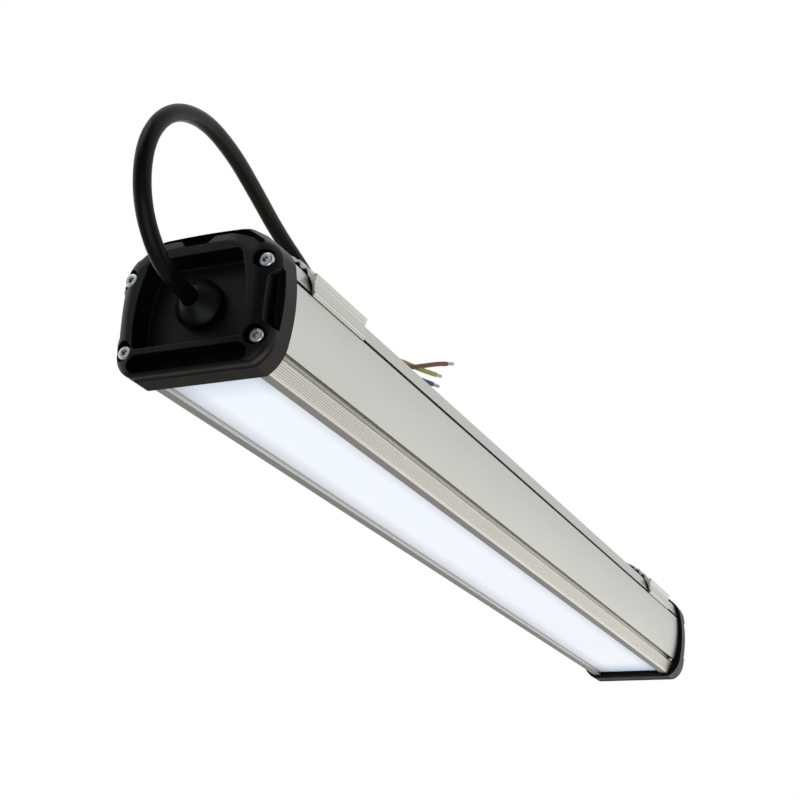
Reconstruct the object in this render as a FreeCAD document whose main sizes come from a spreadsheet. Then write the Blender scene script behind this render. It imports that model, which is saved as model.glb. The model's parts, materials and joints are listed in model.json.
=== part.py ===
import FreeCAD
import Part
import Sketcher
import math
import os

# LED linear light: extruded housing, opal diffuser, two moulded end caps, a glanded cable and two clips.
# The pieces are drawn with x from the housing's gland end, y across and z up from the housing's lips.
# One placement then moves them all to the part's frame: its origin is the middle of the two clips'
# ceiling holes, on the clips' top face, and the light shines down.

Vector = FreeCAD.Vector
doc = FreeCAD.newDocument("LinearLight")

# Driving dimensions, in millimetres
SIZES = [
    ("housing_length", 760.0, "extruded housing, end to end"),
    ("lip_gap", 57.0, "open width between the two lips"),
    ("body_width", 90.7, "width at the widest point of the sides"),
    ("body_height", 77.5, "lips to the flat back"),
    ("rib_count", 7.0, "fine ribs on each lower chamfer"),
    ("rib_rise", 0.35, "height of a rib"),
    ("shelf_bottom", 22.0, "underside of the shelf that carries the light source"),
    ("shelf_thick", 3.0, "thickness of the shelf"),
    ("port_radius", 2.1, "screw ports for the end caps"),
    ("port_mouth", 2.8, "open side of the lower screw ports"),
    ("port_low_y", 38.6, "lower screw ports, from the centre plane"),
    ("port_low_z", 11.6, "lower screw ports, above the lips"),
    ("port_high_y", 40.2, "upper screw ports, from the centre plane"),
    ("port_high_z", 53.0, "upper screw ports, above the lips"),
    ("clip_groove_low", 50.4, "lower edge of the clip groove"),
    ("clip_groove_high", 52.8, "upper edge of the clip groove"),
    ("diffuser_thick", 2.0, "opal sheet"),
    ("diffuser_face", 3.3, "outer face of the opal sheet above the lips"),
    ("diffuser_width", 63.0, "opal sheet, edge to edge"),
    ("gasket_thick", 1.5, "flat seal between housing and cap"),
    ("cap_skirt", 12.0, "end of the cap's straight skirt, in front of the housing"),
    ("cap_slope", 16.0, "bend between the cap's skirt and its rim"),
    ("cap_rim", 19.3, "rim of the cap's front"),
    ("cap_crown", 21.7, "middle of the crowned front"),
    ("cap_depth", 23.2, "flat middle of the front"),
    ("slot_floor", 11.5, "floor of the cap's slots, in front of the housing"),
    ("pocket_floor", 11.9, "floor of the cap's pocket, in front of the housing"),
    ("pocket_draft", 2.1, "how far the pocket's walls lean in, down to the bevel"),
    ("pocket_foot", 0.8, "bevel at the foot of the pocket's walls"),
    ("cap_back", 9.0, "floor of the cap's hollow back, in front of the housing"),
    ("ridge_rise", 2.0, "ridge on the floor of a side slot"),
    ("head_seat", 17.4, "seat of the screw heads, in front of the housing"),
    ("head_recess_radius", 5.6, "round recess for a screw head"),
    ("cap_screw_hole", 2.3, "screw hole radius in cap and seal"),
    ("gland_height", 36.0, "cable gland above the lips"),
    ("gland_hole", 9.8, "gland hole radius in the cap"),
    ("cable_diameter", 9.2, "cable jacket"),
    ("core_diameter", 3.1, "insulated core"),
    ("tip_diameter", 2.4, "bare tinned strand"),
    ("tip_length", 7.0, "bare end of a core"),
    ("clip_length", 61.0, "each clip, along the housing"),
    ("clip_spacing", 640.0, "between the ceiling holes of the two clips"),
    ("clip_first", 52.5, "first ceiling hole from the housing's gland end"),
    ("clip_top", 82.0, "top face of the clips above the lips"),
    ("clip_plate", 3.0, "plate thickness of a clip"),
    ("clip_wall", 1.4, "wall of a clip's wavy flank"),
    ("clip_hole", 2.75, "ceiling screw hole radius"),
    ("clip_sink", 4.6, "countersink radius under the plate"),
    ("board_width", 38.0, "light source board"),
    ("board_thick", 1.6, "light source board"),
    ("board_inset", 8.0, "board end from the housing end"),
    ("chip_size", 3.0, "side of one light emitting chip"),
    ("chip_rise", 0.8, "height of one chip"),
    ("chip_row", 8.5, "row of chips from the centre plane"),
    ("chip_count", 48.0, "chips in a row"),
    ("driver_start", 250.0, "driver case from the gland end"),
    ("driver_length", 210.0, "driver case"),
    ("driver_width", 34.0, "driver case"),
    ("driver_height", 22.0, "driver case"),
    ("driver_tab", 12.0, "fixing tab at each end of the driver"),
    ("tab_thick", 2.0, "fixing tab"),
    ("terminal_start", 58.0, "terminal block from the gland end"),
    ("terminal_length", 22.0, "terminal block, along the housing"),
    ("terminal_width", 33.0, "terminal block, three poles"),
    ("terminal_height", 16.0, "terminal block"),
    ("lead_diameter", 2.0, "inner leads"),
    ("small_hole", 1.6, "clearance hole radius for the small screws"),
    ("lead_hole", 3.6, "hole radius for the leads through shelf and board"),
]

sheet = doc.addObject("Spreadsheet::Sheet", "Sizes")
for row, (alias, number, note) in enumerate(SIZES, start=1):
    sheet.set(f"A{row}", note)
    sheet.set(f"B{row}", str(number))
    sheet.setAlias(f"B{row}", alias)
doc.recompute()


def size(alias):
    """A driving dimension, read from the sheet."""
    return float(sheet.get(alias))


HOME = FreeCAD.Placement(
    Vector(-size("clip_first") - size("clip_spacing") / 2, 0, -size("clip_top")),
    FreeCAD.Rotation(),
)
sub_parts = []


def keep(piece, label):
    """Name a finished sub-part and move it to the part's frame."""
    piece.Label = label
    piece.Placement = HOME.multiply(piece.Placement)
    sub_parts.append(piece)
    return piece


def solid_piece(label, shape):
    """A sub-part whose shape comes from Part's own functions."""
    piece = doc.addObject("Part::Feature", label)
    piece.Shape = shape
    return keep(piece, label)


def new_body(label):
    return doc.addObject("PartDesign::Body", label)


def plane_sketch(body, name, role, offset):
    """A sketch on one of the body's own planes, moved off it by an expression of the sheet's cells."""
    sketch = body.newObject("Sketcher::SketchObject", name)
    plane = [feature for feature in body.Origin.OriginFeatures if feature.Role == role][0]
    sketch.AttachmentSupport = [(plane, "")]
    sketch.MapMode = "FlatFace"
    sketch.setExpression("AttachmentOffset.Base.z", offset)
    return sketch


def cross_sketch(body, name, x_expression):
    """A sketch across the housing at one x: its axes are y and z."""
    return plane_sketch(body, name, "YZ_Plane", x_expression)


def flat_sketch(body, name, z_expression):
    """A level sketch at one z: its axes are x and y."""
    return plane_sketch(body, name, "XY_Plane", z_expression)


def line(start, end):
    return Part.LineSegment(Vector(*start, 0), Vector(*end, 0))


def arc(start, middle, end):
    return Part.Arc(Vector(*start, 0), Vector(*middle, 0), Vector(*end, 0))


def path(start, steps):
    """Lines and arcs from a start point. A step is an end point, or an arc's middle and end points."""
    pieces = []
    for step in steps:
        if len(step) == 2 and isinstance(step[0], tuple):
            pieces.append(arc(start, step[0], step[1]))
            start = step[1]
        else:
            pieces.append(line(start, step))
            start = step
    return pieces


def mirrored(start, steps, crown=None):
    """A closed outline, the same on both sides of the centre plane, from its right half."""
    def flip(point):
        return (-point[0], point[1])

    right = [start] + [step[1] if isinstance(step[0], tuple) else step for step in steps]
    last = right[-1]
    back = []
    for index in range(len(steps) - 1, -1, -1):
        step = steps[index]
        before = flip(right[index])
        if isinstance(step[0], tuple):
            back.append((flip(step[0]), before))
        else:
            back.append(before)
    over = (crown, flip(last)) if crown else flip(last)
    return path(start, list(steps) + [over] + back + [start])


def polygon(points):
    return path(points[0], list(points[1:]) + [points[0]])


def both_sides(points):
    """The same closed polygon on the right and on the left."""
    return polygon(points) + polygon([(-y, z) for y, z in points])


def draw(sketch, geometry):
    """Put geometry in a sketch and tie the ends that meet."""
    for piece in geometry:
        sketch.addGeometry(piece)
    sketch.detectMissingPointOnPointConstraints(1e-6)
    sketch.makeMissingPointOnPointCoincident()


def draw_circles(sketch, centres, radius_alias):
    """Circles with one radius, bound to a cell."""
    for centre in centres:
        number = sketch.addGeometry(Part.Circle(Vector(*centre, 0), Vector(0, 0, 1), size(radius_alias)))
        rule = sketch.addConstraint(Sketcher.Constraint("Radius", number, size(radius_alias)))
        sketch.setExpression(f"Constraints[{rule}]", f"Sizes.{radius_alias}")


def pad(body, sketch, name, length, backwards=False):
    feature = body.newObject("PartDesign::Pad", name)
    feature.Profile = sketch
    feature.setExpression("Length", length)
    feature.Reversed = backwards
    return feature


def pocket(body, sketch, name, depth, forwards=True):
    """Cut along the sketch's normal, or against it."""
    before = volume(body)
    feature = body.newObject("PartDesign::Pocket", name)
    feature.Profile = sketch
    feature.setExpression("Length", depth)
    feature.Reversed = forwards
    doc.recompute()
    if volume(body) >= before:
        raise RuntimeError(f"{body.Name}: {name} cuts nothing")
    return feature


def volume(body):
    doc.recompute()
    return body.Shape.Volume


def loft(body, name, profiles, kind="PartDesign::AdditiveLoft"):
    """A smooth loft through several sections, added to the body or cut from it."""
    feature = body.newObject(kind, name)
    feature.Profile = profiles[0]
    feature.Sections = profiles[1:]
    return feature


def ring(outer, inner, start, end, height):
    """A ring along x, at one height on the centre plane."""
    base = Vector(start, 0, height)
    along = Vector(1, 0, 0)
    solid = Part.makeCylinder(outer, end - start, base, along)
    return solid.cut(Part.makeCylinder(inner, end - start, base, along))


# Housing
PORTS = [
    (side * size(f"port_{level}_y"), size(f"port_{level}_z"))
    for level in ("low", "high")
    for side in (1, -1)
]
CHAMFER_START = (35.4, 1.1)
CHAMFER_END = (39.3, 8.5)
GROOVE_END = (41.7, 12.5)
CLIP_GROOVE_OUT = 47.0
MOUTH_SHARE = 0.6
SHOULDER_START = (40.6, 64.0)
SHOULDER_END = (29.0, 75.1)


def between(start, end, share):
    return tuple(a + (b - a) * share for a, b in zip(start, end))


def rib_steps():
    """Rounded ribs side by side up the lower chamfer."""
    count = int(size("rib_count"))
    run = (CHAMFER_END[0] - CHAMFER_START[0], CHAMFER_END[1] - CHAMFER_START[1])
    length = math.hypot(*run)
    out = (run[1] / length * size("rib_rise"), -run[0] / length * size("rib_rise"))
    steps = []
    for number in range(count):
        crest = between(CHAMFER_START, CHAMFER_END, (number + 0.5) / count)
        foot = between(CHAMFER_START, CHAMFER_END, (number + 1) / count)
        steps.append(((crest[0] + out[0], crest[1] + out[1]), foot))
    return steps


def housing_outline():
    lip = size("lip_gap") / 2
    top = size("body_height")
    widest = size("body_width") / 2
    steps = [(33.6, 0.0), ((34.8, 0.25), CHAMFER_START)]
    steps += rib_steps()
    steps += [
        GROOVE_END,
        ((widest, 34.0), (45.0, 50.0)),
        (44.4, 53.0),
        (42.5, 59.6),
        ((41.8, 62.1), SHOULDER_START),
        SHOULDER_END,
        ((26.8, 76.8), (24.0, top)),
    ]
    return mirrored((lip, 0.0), steps)


def light_chamber():
    """Space between lips and shelf, with the slots that hold the opal sheet."""
    lip = size("lip_gap") / 2
    slot = size("diffuser_width") / 2 + 0.3
    slot_low = size("diffuser_face") - 0.15
    slot_high = size("diffuser_face") + size("diffuser_thick") + 0.15
    shelf = size("shelf_bottom")
    steps = [
        (lip, slot_low),
        (slot, slot_low),
        (slot, slot_high),
        (29.8, slot_high),
        (29.8, 7.2),
        (33.6, 9.6),
        (34.6, 14.0),
        (38.2, 16.6),
        (41.6, 19.0),
        (42.0, shelf),
    ]
    return mirrored((lip, -1.0), steps)


def driver_chamber():
    """Space above the shelf, round the bosses of the upper screw ports."""
    floor = size("shelf_bottom") + size("shelf_thick")
    roof = size("body_height") - 2.3
    steps = [
        ((42.9, 36.0), (42.8, 46.4)),
        (41.4, 48.0),
        (37.4, 49.6),
        ((36.0, 53.0), (37.4, 56.8)),
        (40.0, 58.6),
        (39.9, 60.2),
        (38.4, 63.0),
        (27.4, 73.5),
        (24.5, roof),
    ]
    return mirrored((42.3, floor), steps)


def port_openings():
    """Open sides of the screw ports: a slanted mouth below and the clip groove above."""
    mouth = between(CHAMFER_END, GROOVE_END, MOUTH_SHARE)
    run = (GROOVE_END[0] - CHAMFER_END[0], GROOVE_END[1] - CHAMFER_END[1])
    length = math.hypot(*run)
    along = (run[0] / length, run[1] / length)
    out = (along[1], -along[0])
    half = size("port_mouth") / 2
    depth = size("port_radius")
    inside = (mouth[0] - out[0] * depth, mouth[1] - out[1] * depth)
    outside = (mouth[0] + out[0] * depth, mouth[1] + out[1] * depth)
    corners = [
        (inside[0] - along[0] * half, inside[1] - along[1] * half),
        (outside[0] - along[0] * half, outside[1] - along[1] * half),
        (outside[0] + along[0] * half, outside[1] + along[1] * half),
        (inside[0] + along[0] * half, inside[1] + along[1] * half),
    ]
    low, high = size("clip_groove_low"), size("clip_groove_high")
    groove = [
        (size("port_high_y"), low),
        (CLIP_GROOVE_OUT, low),
        (CLIP_GROOVE_OUT, high),
        (size("port_high_y"), high),
    ]
    return both_sides(corners) + both_sides(groove)


BOARD_SCREWS = [size("housing_length") * (number + 0.5) / 6 for number in range(6)]
DRIVER_SCREWS = [
    size("driver_start") - size("driver_tab") / 2,
    size("driver_start") + size("driver_length") + size("driver_tab") / 2,
]
EARTH_SCREW = (110.0, 14.0)
LEAD_HOLE = (500.0, 14.0)


def make_housing():
    body = new_body("HousingBody")
    section = cross_sketch(body, "housing_section", "0")
    draw(section, housing_outline())
    pad(body, section, "housing_bar", "Sizes.housing_length")
    hollow = cross_sketch(body, "housing_hollow", "0")
    draw(hollow, light_chamber() + driver_chamber())
    pocket(body, hollow, "housing_chambers", "Sizes.housing_length")
    ports = cross_sketch(body, "housing_ports", "0")
    draw_circles(ports, PORTS, "port_radius")
    pocket(body, ports, "screw_ports", "Sizes.housing_length")
    mouths = cross_sketch(body, "housing_mouths", "0")
    draw(mouths, port_openings())
    pocket(body, mouths, "port_mouths", "Sizes.housing_length")
    holes = flat_sketch(body, "shelf_holes", "Sizes.shelf_bottom")
    spots = [(x, 0.0) for x in BOARD_SCREWS + DRIVER_SCREWS] + [EARTH_SCREW]
    draw_circles(holes, spots, "small_hole")
    pocket(body, holes, "shelf_screw_holes", "Sizes.shelf_thick")
    lead = flat_sketch(body, "shelf_lead", "Sizes.shelf_bottom")
    draw_circles(lead, [LEAD_HOLE], "lead_hole")
    pocket(body, lead, "shelf_lead_hole", "Sizes.shelf_thick")
    keep(body, "housing_profile")


def make_diffuser():
    piece = doc.addObject("Part::Box", "DiffuserSheet")
    piece.setExpression("Length", "Sizes.housing_length")
    piece.setExpression("Width", "Sizes.diffuser_width")
    piece.setExpression("Height", "Sizes.diffuser_thick")
    corner = Vector(0, -size("diffuser_width") / 2, size("diffuser_face"))
    piece.Placement = FreeCAD.Placement(corner, FreeCAD.Rotation())
    keep(piece, "diffuser")


# End caps
# Half outlines of the cap at its back and at its front rim, from the bottom's corner to the top's middle.
# Every second point is the middle of an arc, apart from the straight shoulder before the last arc but one.
CAP_BACK = [
    (35.4, -2.4),
    (43.2, 4.8),
    (46.6, 14.0),
    (48.8, 35.0),
    (47.2, 54.0),
    (45.4, 60.4),
    (42.0, 65.1),
    (29.5, 76.6),
    (25.5, 79.2),
    (20.5, 80.0),
    (0.0, 80.6),
]
CAP_RIM = [
    (34.6, -1.7),
    (41.2, 3.4),
    (43.4, 12.5),
    (44.5, 33.0),
    (42.8, 53.0),
    (41.4, 58.8),
    (38.4, 63.2),
    (28.5, 70.4),
    (24.5, 72.0),
    (20.0, 72.6),
    (0.0, 73.0),
]
CAP_MIDDLE = 35.0
CAP_HALF_WIDTH = 44.0
CAP_HALF_HEIGHT = 38.0
# Sections of the cap from skirt to front: where, how far its sides and its top have gone from the back's
# outline to the rim's, and how far it is drawn in
CAP_SECTIONS = [
    ("cap_skirt", 0.06, 0.4, 0.0),
    ("cap_slope", 0.28, 0.68, 0.0),
    ("cap_rim", 1.0, 1.0, 0.0),
    ("cap_crown", 1.0, 1.0, 3.0),
    ("cap_depth", 1.0, 1.0, 7.0),
]


def cap_outline(side_share, top_share, inset):
    """An outline between the back's and the rim's, drawn in towards the front's middle."""
    points = []
    for back, rim in zip(CAP_BACK, CAP_RIM):
        y = between(back, rim, side_share)[0]
        z = between(back, rim, top_share)[1]
        y -= inset * y / CAP_HALF_WIDTH
        z -= inset * (z - CAP_MIDDLE) / CAP_HALF_HEIGHT
        points.append((y, z))
    start, corner, low, side, high, bend, shoulder, top, turn, end, crown = points
    steps = [(corner, low), (side, high), (bend, shoulder), top, (turn, end)]
    return mirrored(start, steps, crown=crown)


def seat_outline():
    """Where the cap takes the housing's end and its seal, with a little room all round."""
    steps = [
        (36.0, 1.0),
        (40.2, 9.2),
        (42.4, 12.4),
        ((45.7, 34.0), (45.4, 50.2)),
        (44.8, 53.2),
        (42.9, 59.8),
        ((42.2, 62.3), (41.0, 64.3)),
        (29.3, 75.5),
        ((27.0, 77.2), (24.1, 77.9)),
    ]
    return mirrored((34.4, -0.4), steps)


def pocket_outline(inset):
    """The deep central pocket, with bowed sides, or its floor inside the bevel at its foot."""
    steps = [
        ((31.9 - inset, 12.0 + inset), (32.6 - inset, 14.6 + inset)),
        ((33.2 - inset, 31.0), (28.8 - inset, 55.6 - inset)),
        ((27.4 - inset, 59.4 - inset), (24.4 - inset, 60.6 - inset)),
    ]
    return mirrored((29.8 - inset, 11.2 + inset), steps)


def pocket_levels():
    """Where the pocket's outline changes, from the front to the floor, and how far it is drawn in there."""
    draft = size("pocket_draft")
    return [
        ("-Sizes.cap_depth", 0.0),
        ("-Sizes.pocket_floor - Sizes.pocket_foot", draft),
        ("-Sizes.pocket_floor", draft + size("pocket_foot")),
    ]


def bottom_slot():
    return mirrored((32.0, -0.9), [(34.4, 0.6), ((35.5, 3.4), (34.4, 5.6)), (31.0, 8.0)])


def side_slots():
    """Slots beside the pocket that open to the sides and flare at both ends."""
    return both_sides([(42.0, 19.5), (46.4, 15.6), (50.0, 17.0), (50.0, 49.0), (46.8, 49.4), (42.8, 44.3)])


def side_ridges():
    return both_sides([(44.6, 19.0), (45.3, 18.6), (45.5, 46.0), (44.8, 45.6)])


def top_slot():
    """The slot under the top edge, deeper in the middle and beside each upper screw."""
    steps = [
        (10.2, 70.0),
        ((18.0, 70.2), (26.5, 68.4)),
        (32.8, 66.0),
        (35.4, 63.2),
        ((37.2, 62.2), (38.4, 63.6)),
        (36.6, 66.2),
        (28.4, 72.2),
        ((24.4, 73.8), (20.0, 74.2)),
    ]
    return mirrored((6.6, 65.6), steps, crown=(0.0, 74.6))


def window_outline():
    """Open middle of the seal, and the cap's hollow back."""
    steps = [
        (33.0, 10.0),
        (34.0, 16.5),
        (40.6, 22.0),
        ((41.8, 35.0), (41.0, 46.0)),
        (34.8, 49.0),
        (34.8, 57.0),
        (37.6, 61.0),
        (26.0, 72.2),
        (22.0, 73.4),
    ]
    return mirrored((28.0, 8.6), steps)


def seal_outline():
    """The seal's edge, just inside the housing's outline."""
    steps = [
        (39.6, 9.6),
        (41.6, 13.0),
        ((44.9, 34.0), (44.4, 52.0)),
        (42.0, 59.4),
        (40.0, 63.8),
        (28.6, 74.6),
        (24.0, 77.0),
    ]
    return mirrored((34.6, 1.2), steps)


def make_cap(name, label, gland):
    """One end cap, drawn at the gland end and facing away from the housing."""
    body = new_body(name)
    front = "-Sizes.cap_depth"
    edge = cross_sketch(body, f"{name}_edge", "0")
    draw(edge, cap_outline(0.0, 0.0, 0.0))
    bend = cross_sketch(body, f"{name}_bend", "-Sizes.cap_skirt")
    draw(bend, cap_outline(*CAP_SECTIONS[0][1:]))
    loft(body, f"{name}_wall", [edge, bend])
    profiles = []
    for alias, side_share, top_share, inset in CAP_SECTIONS:
        profile = cross_sketch(body, f"{name}_{alias}", f"-Sizes.{alias}")
        draw(profile, cap_outline(side_share, top_share, inset))
        profiles.append(profile)
    loft(body, f"{name}_front", profiles)
    slots = cross_sketch(body, f"{name}_slots", front)
    draw(slots, bottom_slot() + side_slots() + top_slot())
    pocket(body, slots, f"{name}_slots_cut", "Sizes.cap_depth - Sizes.slot_floor")
    levels = []
    for number, (level, inset) in enumerate(pocket_levels()):
        profile = cross_sketch(body, f"{name}_pocket_{number}", level)
        draw(profile, pocket_outline(inset))
        levels.append(profile)
    hollow = loft(body, f"{name}_pocket_cut", levels, "PartDesign::SubtractiveLoft")
    hollow.Ruled = True
    ridges = cross_sketch(body, f"{name}_ridges", "-Sizes.slot_floor")
    draw(ridges, side_ridges())
    pad(body, ridges, f"{name}_ridge_pad", "Sizes.ridge_rise", backwards=True)
    seat = cross_sketch(body, f"{name}_seat", "0")
    draw(seat, seat_outline())
    pocket(body, seat, f"{name}_seat_cut", "Sizes.gasket_thick", forwards=False)
    back = cross_sketch(body, f"{name}_back", "-Sizes.gasket_thick")
    draw(back, window_outline())
    pocket(body, back, f"{name}_back_cut", "Sizes.cap_back - Sizes.gasket_thick", forwards=False)
    recess = cross_sketch(body, f"{name}_recess", front)
    draw_circles(recess, PORTS, "head_recess_radius")
    pocket(body, recess, f"{name}_recess_cut", "Sizes.cap_depth - Sizes.head_seat")
    holes = cross_sketch(body, f"{name}_holes", front)
    draw_circles(holes, PORTS, "cap_screw_hole")
    pocket(body, holes, f"{name}_holes_cut", "Sizes.cap_depth")
    if gland:
        hole = cross_sketch(body, f"{name}_gland", front)
        draw_circles(hole, [(0.0, size("gland_height"))], "gland_hole")
        pocket(body, hole, f"{name}_gland_cut", "Sizes.cap_depth")
    keep(body, label)
    return body


def make_seal(name, label):
    body = new_body(name)
    section = cross_sketch(body, f"{name}_section", "-Sizes.gasket_thick")
    draw(section, seal_outline() + window_outline())
    pad(body, section, f"{name}_pad", "Sizes.gasket_thick")
    holes = cross_sketch(body, f"{name}_holes", "-Sizes.gasket_thick")
    draw_circles(holes, PORTS, "cap_screw_hole")
    pocket(body, holes, f"{name}_holes_cut", "Sizes.gasket_thick")
    keep(body, label)
    return body


def far_placement():
    """Half a turn about the vertical through the housing's middle, for the pieces of the far end."""
    turn = FreeCAD.Rotation(Vector(0, 0, 1), 180)
    return FreeCAD.Placement(HOME.Base + Vector(size("housing_length"), 0, 0), turn)


# Screws
HEAD_RADIUS = 4.2
HEAD_HEIGHT = 2.9
HEAD_ROUND = 1.3
CAP_SHANK_RADIUS = 1.95
CAP_SHANK_LENGTH = 26.0
LOBE_RING = 1.5
LOBE_RADIUS = 0.46
RECESS_DEPTH = 1.7
SMALL_HEAD_RADIUS = 2.7
SMALL_HEAD_HEIGHT = 1.8
SMALL_SHANK_RADIUS = 1.5
LONG_SHANK = 4.2
SHORT_SHANK = 2.8


def six_lobe_recess(top):
    """The driver recess in a screw head: a round core with six lobes."""
    core = Part.makeCylinder(LOBE_RING, RECESS_DEPTH, Vector(0, 0, top - RECESS_DEPTH))
    lobes = []
    for number in range(6):
        angle = math.radians(60 * number)
        spot = Vector(LOBE_RING * math.cos(angle), LOBE_RING * math.sin(angle), top - RECESS_DEPTH)
        lobes.append(Part.makeCylinder(LOBE_RADIUS, RECESS_DEPTH, spot))
    return core.multiFuse(lobes)


def cap_screw():
    """A pan head screw that stands on its seat at z 0, head up."""
    profile = path(
        (0.0, -CAP_SHANK_LENGTH),
        [
            (CAP_SHANK_RADIUS - 0.8, -CAP_SHANK_LENGTH),
            (CAP_SHANK_RADIUS, -CAP_SHANK_LENGTH + 2.0),
            (CAP_SHANK_RADIUS, 0.0),
            (HEAD_RADIUS, 0.0),
            (HEAD_RADIUS, HEAD_HEIGHT - HEAD_ROUND),
            ((HEAD_RADIUS - 0.4, HEAD_HEIGHT - 0.4), (HEAD_RADIUS - HEAD_ROUND, HEAD_HEIGHT)),
            (0.0, HEAD_HEIGHT),
            (0.0, -CAP_SHANK_LENGTH),
        ],
    )
    wire = Part.Wire([piece.toShape() for piece in profile])
    wire.rotate(Vector(0, 0, 0), Vector(1, 0, 0), 90)
    solid = Part.Face(wire).revolve(Vector(0, 0, 0), Vector(0, 0, 1), 360)
    return Part.Solid(Part.Shell(solid.Shells[0].Faces)).cut(six_lobe_recess(HEAD_HEIGHT))


def cap_screws():
    """The four screws of one cap, heads towards minus x."""
    group = []
    for y, z in PORTS:
        screw = cap_screw()
        screw.rotate(Vector(0, 0, 0), Vector(0, 1, 0), -90)
        screw.translate(Vector(-size("head_seat"), y, z))
        group.append(screw)
    return Part.makeCompound(group)


def small_screw(head_down, seat, x, y, length):
    """A plain pan head screw through the shelf or a tab, along z from its seat."""
    turn = -1 if head_down else 1
    base = Vector(x, y, seat)
    head = Part.makeCylinder(SMALL_HEAD_RADIUS, SMALL_HEAD_HEIGHT, base, Vector(0, 0, turn))
    shank = Part.makeCylinder(SMALL_SHANK_RADIUS, length, base, Vector(0, 0, -turn))
    return head.fuse(shank)


# Cable gland
DOME_RADIUS = 13.6
DOME_RISE = 8.1
DOME_BULGE = 0.5
DOME_COLLAR = 4.0
DOME_MOUTH = 0.35
GLAND_TUBE = 9.5
GLAND_BORE = 7.2
DOME_HOLLOW = 6.0
GLAND_CLEARANCE = 0.1
NUT_RADIUS = 13.4
NUT_HEIGHT = 4.0


def gland_pieces():
    height = size("gland_height")
    floor = -size("pocket_floor")
    cable = size("cable_diameter") / 2
    mouth = cable + DOME_MOUTH
    collar = floor - DOME_COLLAR
    tip = collar - DOME_RISE
    lip = mouth + 0.3
    fall = DOME_RADIUS - lip
    reach = math.hypot(DOME_RISE, fall)
    crest = (
        (collar + tip) / 2 - DOME_BULGE * fall / reach,
        (DOME_RADIUS + lip) / 2 + DOME_BULGE * DOME_RISE / reach,
    )
    outline = path(
        (floor, GLAND_TUBE + GLAND_CLEARANCE),
        [
            (floor, DOME_RADIUS),
            (collar, DOME_RADIUS),
            (crest, (tip, lip)),
            (tip, mouth),
            (floor - DOME_HOLLOW - 2.0, mouth),
            (floor - DOME_HOLLOW, GLAND_TUBE + GLAND_CLEARANCE),
            (floor, GLAND_TUBE + GLAND_CLEARANCE),
        ],
    )
    wire = Part.Wire([piece.toShape() for piece in outline])
    dome = Part.Face(wire).revolve(Vector(0, 0, 0), Vector(1, 0, 0), 360)
    dome = Part.Solid(Part.Shell(dome.Shells[0].Faces))
    dome.translate(Vector(0, 0, height))
    solid_piece("gland_dome", dome)
    solid_piece("gland_body", ring(GLAND_TUBE, GLAND_BORE, floor - DOME_HOLLOW + 0.3, -0.5, height))
    solid_piece("gland_seal", ring(GLAND_BORE, cable, floor - DOME_HOLLOW + 0.3, -3.0, height))
    seat = -size("cap_back")
    corners = []
    for number in range(7):
        angle = math.radians(60 * number)
        corners.append(Vector(seat, NUT_RADIUS * math.cos(angle), height + NUT_RADIUS * math.sin(angle)))
    nut = Part.Face(Part.makePolygon(corners)).extrude(Vector(NUT_HEIGHT, 0, 0))
    bore = GLAND_TUBE + GLAND_CLEARANCE
    hole = Part.makeCylinder(bore, NUT_HEIGHT, Vector(seat, 0, height), Vector(1, 0, 0))
    solid_piece("gland_locknut", nut.cut(hole))


# Cable, cores and leads
CABLE_ROUTE = [
    (0.0, 0.0, 36.0),
    (-30.0, 0.0, 36.0),
    (-59.0, -3.0, 40.0),
    (-83.0, -6.0, 60.0),
    (-88.5, -8.0, 90.0),
    (-71.5, -8.0, 116.5),
    (-38.0, -5.0, 132.0),
    (-1.0, -1.0, 133.0),
    (35.0, 4.0, 127.5),
    (69.0, 8.0, 120.0),
    (99.0, 7.0, 110.5),
    (123.0, 2.5, 96.0),
    (146.0, -4.0, 82.3),
    (171.0, -8.0, 82.3),
]
# Where each core leaves the jacket's end face, across and up from its centre, and its points from there
CORE_EXITS = {"core_brown": (-1.9, 1.1), "core_blue": (0.0, -2.2), "core_earth": (1.9, 1.1)}
CORE_LEAD = 12.0
CORE_ROUTES = {
    "core_brown": [(196.5, -20.5, 82.2), (211.8, -25.0, 89.2), (225.0, -28.6, 95.3), (232.6, -30.8, 98.0)],
    "core_blue": [(199.0, -14.5, 80.7), (214.5, -19.2, 81.9), (230.2, -22.4, 83.8)],
    "core_earth": [(193.0, -14.6, 87.0), (208.5, -18.4, 88.0), (222.0, -20.6, 89.8), (235.6, -22.0, 92.6)],
}


def corner_radius(before, corner, after):
    """The largest bend that leaves a little straight at both ends of the shorter run."""
    back = before - corner
    ahead = after - corner
    turn = math.pi - back.getAngle(ahead)
    return 0.45 * min(back.Length, ahead.Length) / math.tan(turn / 2)


def tube_path(points):
    """Straight runs joined by tangent arcs, with the list of bend radii."""
    spots = [Vector(*point) for point in points]
    edges = []
    radii = []
    start = spots[0]
    for before, corner, after in zip(spots, spots[1:], spots[2:]):
        back = (before - corner).normalize()
        ahead = (after - corner).normalize()
        radius = corner_radius(before, corner, after)
        half = back.getAngle(ahead) / 2
        reach = radius / math.tan(half)
        centre = corner + (back + ahead).normalize() * (radius / math.sin(half))
        middle = centre + (corner - centre).normalize() * radius
        edges.append(Part.LineSegment(start, corner + back * reach).toShape())
        edges.append(Part.Arc(corner + back * reach, middle, corner + ahead * reach).toShape())
        start = corner + ahead * reach
        radii.append(radius)
    edges.append(Part.LineSegment(start, spots[-1]).toShape())
    return Part.Wire(edges), radii


def tube(points, diameter):
    route, radii = tube_path(points)
    first = Vector(*points[0])
    direction = Vector(*points[1]) - first
    section = Part.Wire(Part.makeCircle(diameter / 2, first, direction))
    solid = route.makePipeShell([section], True, False)
    expected = math.pi * diameter ** 2 / 4 * route.Length
    if abs(solid.Volume - expected) > 0.01 * expected:
        raise RuntimeError("a tube's volume isn't its section times its length")
    return solid, route.Length, radii


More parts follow.
